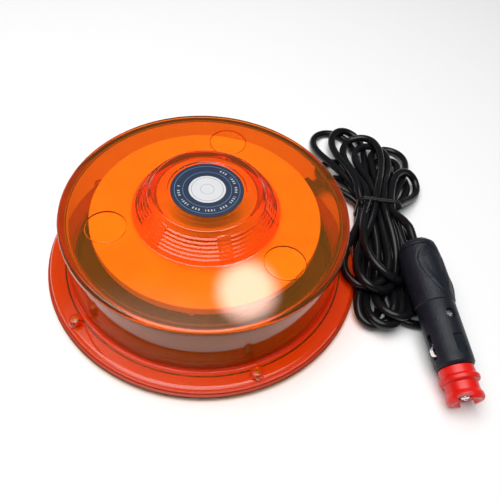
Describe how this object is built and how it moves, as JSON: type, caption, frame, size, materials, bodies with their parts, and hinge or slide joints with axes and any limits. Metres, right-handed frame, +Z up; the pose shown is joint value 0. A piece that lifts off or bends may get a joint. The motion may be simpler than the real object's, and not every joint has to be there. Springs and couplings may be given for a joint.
{
  "type": "led safety flare",
  "caption": "Low round amber LED beacon on a magnetic black base, with a folded black lead and a 12/24 V plug that carries a red push-on adapter.",
  "frame": {"origin": "on the floor under the centre of the round beacon, where its foot pad rests", "axes": "+Z up along the beacon's round axis, +X towards the lead and plug, +Y away from the plug's tip"},
  "size_m": [0.2342, 0.2223, 0.058],
  "materials": {
    "amber_lens": "clear amber polycarbonate, moulded gloss",
    "label_print": "printed disc",
    "black_plastic": "moulded, fine grain",
    "foot_rubber": "matt rubber sheet",
    "seal_rubber": "soft matt",
    "ferrite": "sintered, dull",
    "keeper_steel": "zinc plated",
    "screw_steel": "zinc plated",
    "sink_aluminium": "black anodised",
    "led_board": "black solder resist with amber domes",
    "reflector_white": "white moulding",
    "circuit_board": "green solder resist",
    "capacitor_can": "black sleeve",
    "chip_epoxy": "moulded epoxy",
    "relief_rubber": "satin",
    "cable_jacket": "glossy black PVC",
    "tie_wire": "plastic covered wire",
    "plug_shell": "blue black, fine grain",
    "contact_metal": "nickel plated brass",
    "spring_steel": "drawn wire",
    "fuse_glass": "clear tube with plated ends",
    "red_plastic": "satin moulding"
  },
  "bodies": {
    "beacon": {"lens_cover": "amber_lens", "hub_label": "label_print", "base_plate": "black_plastic", "foot_pad": "foot_rubber", "magnet_1": "ferrite", "magnet_2": "ferrite", "magnet_3": "ferrite", "magnet_keeper_1": "keeper_steel", "magnet_keeper_2": "keeper_steel", "magnet_keeper_3": "keeper_steel", "lens_gasket": "seal_rubber", "cover_screw_1": "screw_steel", "cover_screw_2": "screw_steel", "cover_screw_3": "screw_steel", "cover_screw_4": "screw_steel", "cover_screw_5": "screw_steel", "heat_sink": "sink_aluminium", "heat_sink_screw_1": "screw_steel", "heat_sink_screw_2": "screw_steel", "heat_sink_screw_3": "screw_steel", "led_board_1": "led_board", "led_board_2": "led_board", "led_board_3": "led_board", "led_board_4": "led_board", "led_board_5": "led_board", "led_board_6": "led_board", "reflector_disc": "reflector_white", "driver_board": "circuit_board", "board_screw_1": "screw_steel", "board_screw_2": "screw_steel", "board_screw_3": "screw_steel", "choke": "ferrite", "capacitor": "capacitor_can", "driver_chip": "chip_epoxy", "cable_gland": "relief_rubber", "inner_lead": "cable_jacket", "lead": "cable_jacket", "lead_hank": "cable_jacket", "lead_tail": "cable_jacket", "hank_tie": "tie_wire", "plug_shell_top": "plug_shell", "plug_shell_bottom": "plug_shell", "plug_rear_cap": "plug_shell", "plug_screw": "screw_steel", "nose_sleeve": "black_plastic", "tip_spring": "spring_steel"},
    "tip": {"tip_contact": "contact_metal", "fuse": "fuse_glass"},
    "side_contact_right": {"side_contact_right": "contact_metal"},
    "side_contact_left": {"side_contact_left": "contact_metal"},
    "adapter": {"adapter": "red_plastic"}
  },
  "joints": [
    {"name": "tip_press", "type": "slide", "parent": "beacon", "child": "tip", "axis": [-0.2333, 0.965, 0.1193], "range_m": [0, 0.002], "stiffness_N_per_m": 600, "springref_m": -0.002, "deforming": ["tip_spring"]},
    {"name": "right_contact_press", "type": "slide", "parent": "beacon", "child": "side_contact_right", "axis": [-0.9488, -0.2528, 0.1895], "range_m": [0, 0.001], "stiffness_N_per_m": 500, "springref_m": -0.001},
    {"name": "left_contact_press", "type": "slide", "parent": "beacon", "child": "side_contact_left", "axis": [0.9488, 0.2528, -0.1895], "range_m": [0, 0.001], "stiffness_N_per_m": 500, "springref_m": -0.001},
    {"name": "adapter_pull", "type": "slide", "parent": "beacon", "child": "adapter", "axis": [0.2333, -0.965, -0.1193], "range_m": [0, 0.0174]}
  ]
}
